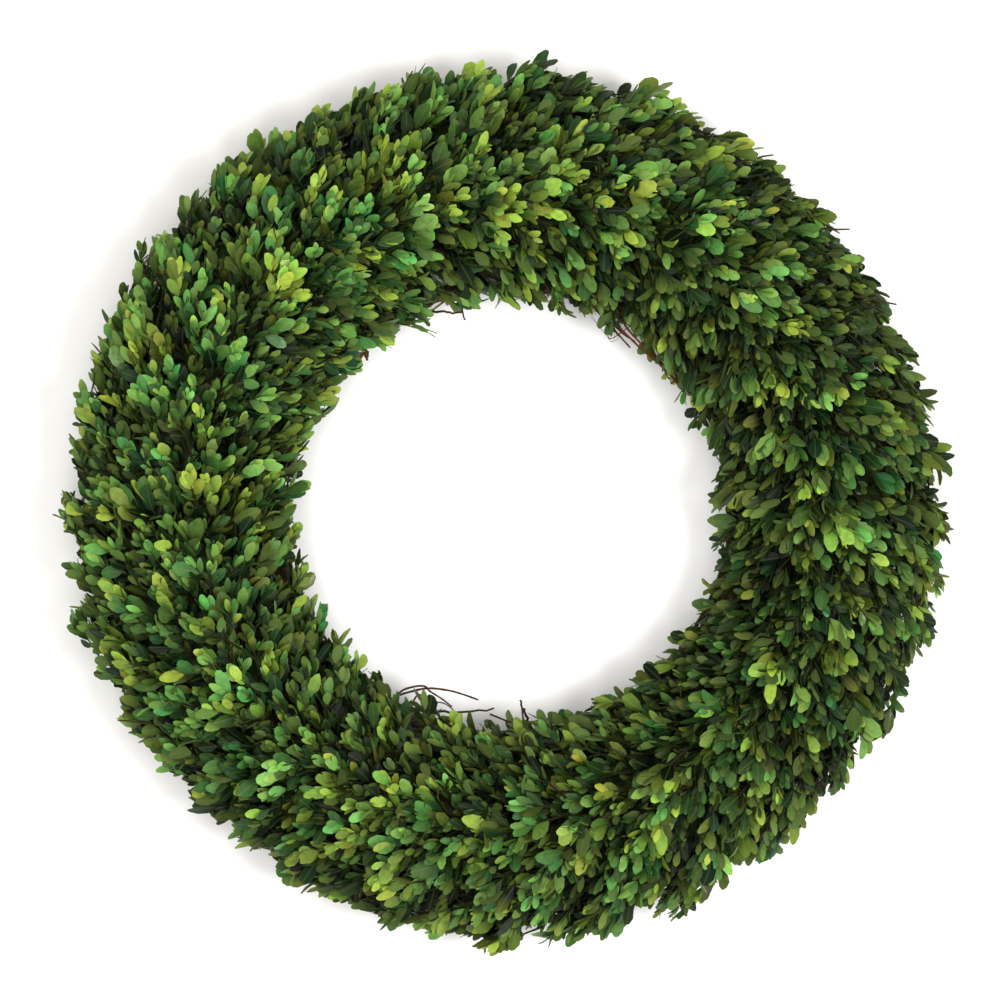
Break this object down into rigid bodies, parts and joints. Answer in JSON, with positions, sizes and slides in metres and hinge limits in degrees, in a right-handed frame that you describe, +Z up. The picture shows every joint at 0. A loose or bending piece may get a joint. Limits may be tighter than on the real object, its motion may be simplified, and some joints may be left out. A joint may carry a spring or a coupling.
{
  "type": "boxwood wreath",
  "caption": "Round leafy wreath of small boxwood sprigs in overlapping bunches, wired round a twisted vine hoop with an open centre.",
  "frame": {"origin": "centre of the footprint, on the surface the wreath lies on", "axes": "+Z up, along the axis of the hole, out of the leafy front; +Y towards the wreath's top; +X to its right, seen from the front"},
  "size_m": [0.6073, 0.6052, 0.1206],
  "materials": {
    "foliage_outer": "satin",
    "foliage_crest": "satin",
    "foliage_inner": "satin",
    "vine_bark": "matte",
    "tie_wire": "satin"
  },
  "bodies": {
    "root": {"outer_bunch_01": "foliage_outer", "outer_bunch_02": "foliage_outer", "outer_bunch_03": "foliage_outer", "outer_bunch_04": "foliage_outer", "outer_bunch_05": "foliage_outer", "outer_bunch_06": "foliage_outer", "outer_bunch_07": "foliage_outer", "outer_bunch_08": "foliage_outer", "outer_bunch_09": "foliage_outer", "outer_bunch_10": "foliage_outer", "outer_bunch_11": "foliage_outer", "outer_bunch_12": "foliage_outer", "outer_bunch_13": "foliage_outer", "outer_bunch_14": "foliage_outer", "outer_bunch_15": "foliage_outer", "outer_bunch_16": "foliage_outer", "crest_bunch_01": "foliage_crest", "crest_bunch_02": "foliage_crest", "crest_bunch_03": "foliage_crest", "crest_bunch_04": "foliage_crest", "crest_bunch_05": "foliage_crest", "crest_bunch_06": "foliage_crest", "crest_bunch_07": "foliage_crest", "crest_bunch_08": "foliage_crest", "crest_bunch_09": "foliage_crest", "crest_bunch_10": "foliage_crest", "crest_bunch_11": "foliage_crest", "crest_bunch_12": "foliage_crest", "crest_bunch_13": "foliage_crest", "crest_bunch_14": "foliage_crest", "crest_bunch_15": "foliage_crest", "crest_bunch_16": "foliage_crest", "inner_bunch_01": "foliage_inner", "inner_bunch_02": "foliage_inner", "inner_bunch_03": "foliage_inner", "inner_bunch_04": "foliage_inner", "inner_bunch_05": "foliage_inner", "inner_bunch_06": "foliage_inner", "inner_bunch_07": "foliage_inner", "inner_bunch_08": "foliage_inner", "inner_bunch_09": "foliage_inner", "inner_bunch_10": "foliage_inner", "inner_bunch_11": "foliage_inner", "inner_bunch_12": "foliage_inner", "inner_bunch_13": "foliage_inner", "inner_bunch_14": "foliage_inner", "inner_bunch_15": "foliage_inner", "inner_bunch_16": "foliage_inner", "vine_strand_1": "vine_bark", "vine_strand_2": "vine_bark", "vine_strand_3": "vine_bark", "vine_strand_4": "vine_bark", "vine_strand_5": "vine_bark", "tie_wire": "tie_wire"}
  },
  "joints": []
}
